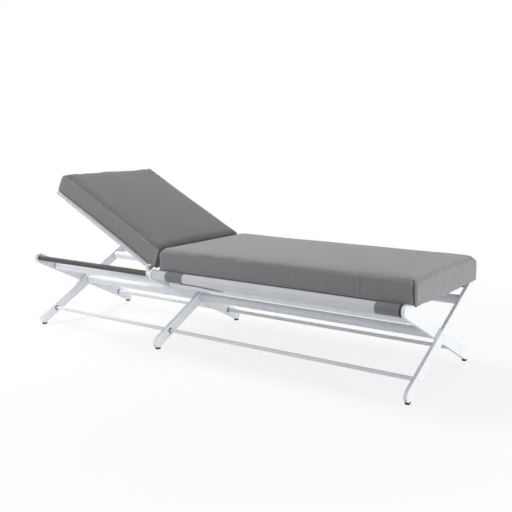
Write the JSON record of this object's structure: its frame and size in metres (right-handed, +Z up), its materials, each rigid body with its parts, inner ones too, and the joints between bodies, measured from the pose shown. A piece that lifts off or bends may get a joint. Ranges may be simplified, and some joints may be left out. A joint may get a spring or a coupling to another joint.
{
  "type": "relaxation lounger",
  "caption": "Long reclining lounger on crossed white leg frames with tube rails, a tilting back frame, fabric slings and two loose upholstered cushions.",
  "frame": {"origin": "on the floor, under the middle of the lounger's outline at rest", "axes": "+X from the head end to the foot end, +Y to the far side, +Z up"},
  "size_m": [2, 0.6458, 0.7495],
  "materials": {
    "white_frame": "satin white powder coat",
    "graphite_rail": "satin graphite anodised tube",
    "hinge_steel": "brushed stainless steel",
    "nylon": "matt natural nylon",
    "black_plastic": "matt black moulded plastic",
    "glide_rubber": "matt black rubber",
    "sling_fabric": "light grey woven outdoor mesh",
    "strap_webbing": "dark grey flat webbing",
    "cushion_fabric": "mid grey fine woven upholstery over foam"
  },
  "bodies": {
    "root": {"centre_tube_foot": "white_frame", "centre_tube_head": "white_frame", "far_end_ring": "black_plastic", "far_glide_foot": "glide_rubber", "far_glide_head": "glide_rubber", "far_glide_mid": "glide_rubber", "far_head_rail": "graphite_rail", "far_hinge_bracket": "hinge_steel", "far_hinge_pin": "hinge_steel", "far_hinge_washer": "hinge_steel", "far_seat_rail": "white_frame", "far_sling_sleeve": "sling_fabric", "far_strap_foot": "strap_webbing", "far_strap_head": "strap_webbing", "far_tie_rod": "white_frame", "far_upper_tube_foot": "white_frame", "far_upper_tube_head": "white_frame", "leg_a_foot": "white_frame", "leg_a_head": "white_frame", "leg_a_mid": "white_frame", "leg_b_foot": "white_frame", "leg_b_head": "white_frame", "leg_b_mid": "white_frame", "near_end_ring": "black_plastic", "near_glide_foot": "glide_rubber", "near_glide_head": "glide_rubber", "near_glide_mid": "glide_rubber", "near_head_rail": "graphite_rail", "near_hinge_bracket": "hinge_steel", "near_hinge_pin": "hinge_steel", "near_hinge_washer": "hinge_steel", "near_seat_rail": "white_frame", "near_sling_sleeve": "sling_fabric", "near_strap_buckle": "nylon", "near_strap_foot": "strap_webbing", "near_strap_head": "strap_webbing", "near_strap_tail": "strap_webbing", "near_tie_rod": "white_frame", "near_upper_tube_foot": "white_frame", "near_upper_tube_head": "white_frame", "pivot_nut_foot": "white_frame", "pivot_nut_head": "white_frame", "pivot_washer_foot": "nylon", "pivot_washer_head": "nylon", "pivot_washer_mid": "nylon", "seat_cushion": "cushion_fabric", "seat_sling": "sling_fabric"},
    "backrest": {"back_cushion": "cushion_fabric", "back_foot_bar": "white_frame", "back_head_bar": "white_frame", "back_mid_bar": "white_frame", "back_sling": "sling_fabric", "far_back_sleeve": "sling_fabric", "far_back_tube": "white_frame", "far_hinge_knuckle": "hinge_steel", "near_back_sleeve": "sling_fabric", "near_back_tube": "white_frame", "near_hinge_knuckle": "hinge_steel"}
  },
  "joints": [
    {"name": "backrest_tilt", "type": "hinge", "parent": "root", "child": "backrest", "pos_m": [-0.245, 0, 0.3595], "axis": [0, 1, 0], "range_deg": [-27.5, 10]}
  ]
}
